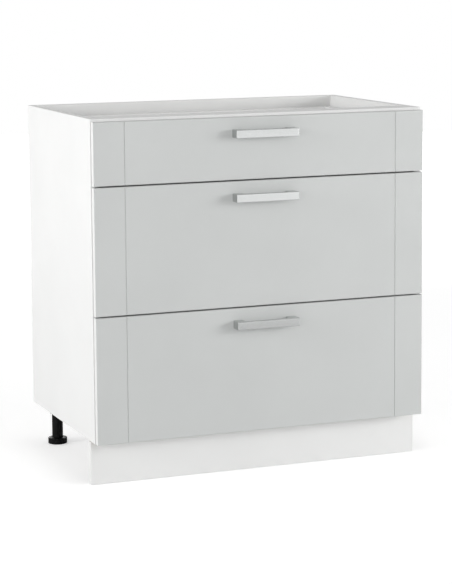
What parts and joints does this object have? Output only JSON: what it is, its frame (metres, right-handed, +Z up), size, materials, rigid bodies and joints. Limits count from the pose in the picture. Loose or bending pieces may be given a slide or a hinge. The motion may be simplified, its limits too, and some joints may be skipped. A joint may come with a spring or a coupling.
{
  "type": "base cabinet with drawers",
  "caption": "Free-standing kitchen base cabinet with drawers on ball-bearing slides, bracket handles, plinth and levelling feet, open on top for a worktop.",
  "frame": {"origin": "on the floor, under the middle of the whole unit with its handles", "axes": "+Z up, -Y towards the person who opens the drawers, +X to that person's right"},
  "size_m": [0.8, 0.529, 0.82],
  "materials": {
    "laminated_board": "white melamine laminate, satin",
    "front_film": "light grey matt film on fibreboard",
    "white_sheet": "white lacquered hardboard",
    "handle_metal": "satin nickel",
    "zinc_steel": "bright zinc plate",
    "cage_steel": "plain steel with greased balls",
    "screw_steel": "zinc plated",
    "cam_zinc": "die cast, dull",
    "dowel_wood": "plain beech",
    "black_plastic": "moulded, slight sheen",
    "clip_plastic": "moulded",
    "pad_plastic": "soft clear pad"
  },
  "bodies": {
    "carcass": {"side_panel_left": "laminated_board", "side_panel_right": "laminated_board", "bottom_panel": "laminated_board", "top_rail_front": "laminated_board", "top_rail_rear": "laminated_board", "back_panel": "white_sheet", "back_nails": "screw_steel", "slide_outer": "zinc_steel", "bumper_pads": "pad_plastic", "cam_locks": "cam_zinc", "cam_bolts": "screw_steel", "wood_dowels": "dowel_wood", "carcass_screws": "screw_steel", "plinth_board": "laminated_board", "plinth_clips": "clip_plastic", "leg_sockets": "black_plastic", "leg_posts": "black_plastic"},
    "drawer_bottom": {"front_bottom": "front_film", "handle_bottom": "handle_metal", "handle_screws_bottom": "screw_steel", "box_side_left_bottom": "laminated_board", "box_side_right_bottom": "laminated_board", "box_front_bottom": "laminated_board", "box_back_bottom": "laminated_board", "box_bottom_bottom": "white_sheet", "box_screws_bottom": "screw_steel", "slide_inner_bottom": "zinc_steel"},
    "slide_mid_pair_bottom": {"slide_mid_bottom": "zinc_steel"},
    "cage_outer_pair_bottom": {"ball_cage_outer_bottom": "cage_steel"},
    "cage_inner_pair_bottom": {"ball_cage_inner_bottom": "cage_steel"},
    "drawer_middle": {"front_middle": "front_film", "handle_middle": "handle_metal", "handle_screws_middle": "screw_steel", "box_side_left_middle": "laminated_board", "box_side_right_middle": "laminated_board", "box_front_middle": "laminated_board", "box_back_middle": "laminated_board", "box_bottom_middle": "white_sheet", "box_screws_middle": "screw_steel", "slide_inner_middle": "zinc_steel"},
    "slide_mid_pair_middle": {"slide_mid_middle": "zinc_steel"},
    "cage_outer_pair_middle": {"ball_cage_outer_middle": "cage_steel"},
    "cage_inner_pair_middle": {"ball_cage_inner_middle": "cage_steel"},
    "drawer_top": {"front_top": "front_film", "handle_top": "handle_metal", "handle_screws_top": "screw_steel", "box_side_left_top": "laminated_board", "box_side_right_top": "laminated_board", "box_front_top": "laminated_board", "box_back_top": "laminated_board", "box_bottom_top": "white_sheet", "box_screws_top": "screw_steel", "slide_inner_top": "zinc_steel"},
    "slide_mid_pair_top": {"slide_mid_top": "zinc_steel"},
    "cage_outer_pair_top": {"ball_cage_outer_top": "cage_steel"},
    "cage_inner_pair_top": {"ball_cage_inner_top": "cage_steel"},
    "leg_foot_front_left_body": {"leg_foot_front_left": "black_plastic"},
    "leg_foot_front_right_body": {"leg_foot_front_right": "black_plastic"},
    "leg_foot_rear_left_body": {"leg_foot_rear_left": "black_plastic"},
    "leg_foot_rear_right_body": {"leg_foot_rear_right": "black_plastic"}
  },
  "joints": [
    {"name": "drawer_bottom_slide", "type": "slide", "parent": "carcass", "child": "drawer_bottom", "axis": [0, -1, 0], "range_m": [0, 0.45]},
    {"name": "slide_mid_pair_bottom_slide", "type": "slide", "parent": "carcass", "child": "slide_mid_pair_bottom", "axis": [0, -1, 0], "range_m": [0, 0.225]},
    {"name": "cage_outer_pair_bottom_slide", "type": "slide", "parent": "carcass", "child": "cage_outer_pair_bottom", "axis": [0, -1, 0], "range_m": [0, 0.1125]},
    {"name": "cage_inner_pair_bottom_slide", "type": "slide", "parent": "carcass", "child": "cage_inner_pair_bottom", "axis": [0, -1, 0], "range_m": [0, 0.3375]},
    {"name": "drawer_middle_slide", "type": "slide", "parent": "carcass", "child": "drawer_middle", "axis": [0, -1, 0], "range_m": [0, 0.45]},
    {"name": "slide_mid_pair_middle_slide", "type": "slide", "parent": "carcass", "child": "slide_mid_pair_middle", "axis": [0, -1, 0], "range_m": [0, 0.225]},
    {"name": "cage_outer_pair_middle_slide", "type": "slide", "parent": "carcass", "child": "cage_outer_pair_middle", "axis": [0, -1, 0], "range_m": [0, 0.1125]},
    {"name": "cage_inner_pair_middle_slide", "type": "slide", "parent": "carcass", "child": "cage_inner_pair_middle", "axis": [0, -1, 0], "range_m": [0, 0.3375]},
    {"name": "drawer_top_slide", "type": "slide", "parent": "carcass", "child": "drawer_top", "axis": [0, -1, 0], "range_m": [0, 0.45]},
    {"name": "slide_mid_pair_top_slide", "type": "slide", "parent": "carcass", "child": "slide_mid_pair_top", "axis": [0, -1, 0], "range_m": [0, 0.225]},
    {"name": "cage_outer_pair_top_slide", "type": "slide", "parent": "carcass", "child": "cage_outer_pair_top", "axis": [0, -1, 0], "range_m": [0, 0.1125]},
    {"name": "cage_inner_pair_top_slide", "type": "slide", "parent": "carcass", "child": "cage_inner_pair_top", "axis": [0, -1, 0], "range_m": [0, 0.3375]},
    {"name": "leg_foot_front_left_level", "type": "slide", "parent": "carcass", "child": "leg_foot_front_left_body", "axis": [0, 0, -1], "range_m": [0, 0.025]},
    {"name": "leg_foot_front_right_level", "type": "slide", "parent": "carcass", "child": "leg_foot_front_right_body", "axis": [0, 0, -1], "range_m": [0, 0.025]},
    {"name": "leg_foot_rear_left_level", "type": "slide", "parent": "carcass", "child": "leg_foot_rear_left_body", "axis": [0, 0, -1], "range_m": [0, 0.025]},
    {"name": "leg_foot_rear_right_level", "type": "slide", "parent": "carcass", "child": "leg_foot_rear_right_body", "axis": [0, 0, -1], "range_m": [0, 0.025]}
  ],
  "couplings": [
    {"joint": "slide_mid_pair_bottom_slide", "follows": "drawer_bottom_slide", "ratio": 0.5},
    {"joint": "cage_outer_pair_bottom_slide", "follows": "drawer_bottom_slide", "ratio": 0.25},
    {"joint": "cage_inner_pair_bottom_slide", "follows": "drawer_bottom_slide", "ratio": 0.75},
    {"joint": "slide_mid_pair_middle_slide", "follows": "drawer_middle_slide", "ratio": 0.5},
    {"joint": "cage_outer_pair_middle_slide", "follows": "drawer_middle_slide", "ratio": 0.25},
    {"joint": "cage_inner_pair_middle_slide", "follows": "drawer_middle_slide", "ratio": 0.75},
    {"joint": "slide_mid_pair_top_slide", "follows": "drawer_top_slide", "ratio": 0.5},
    {"joint": "cage_outer_pair_top_slide", "follows": "drawer_top_slide", "ratio": 0.25},
    {"joint": "cage_inner_pair_top_slide", "follows": "drawer_top_slide", "ratio": 0.75}
  ]
}
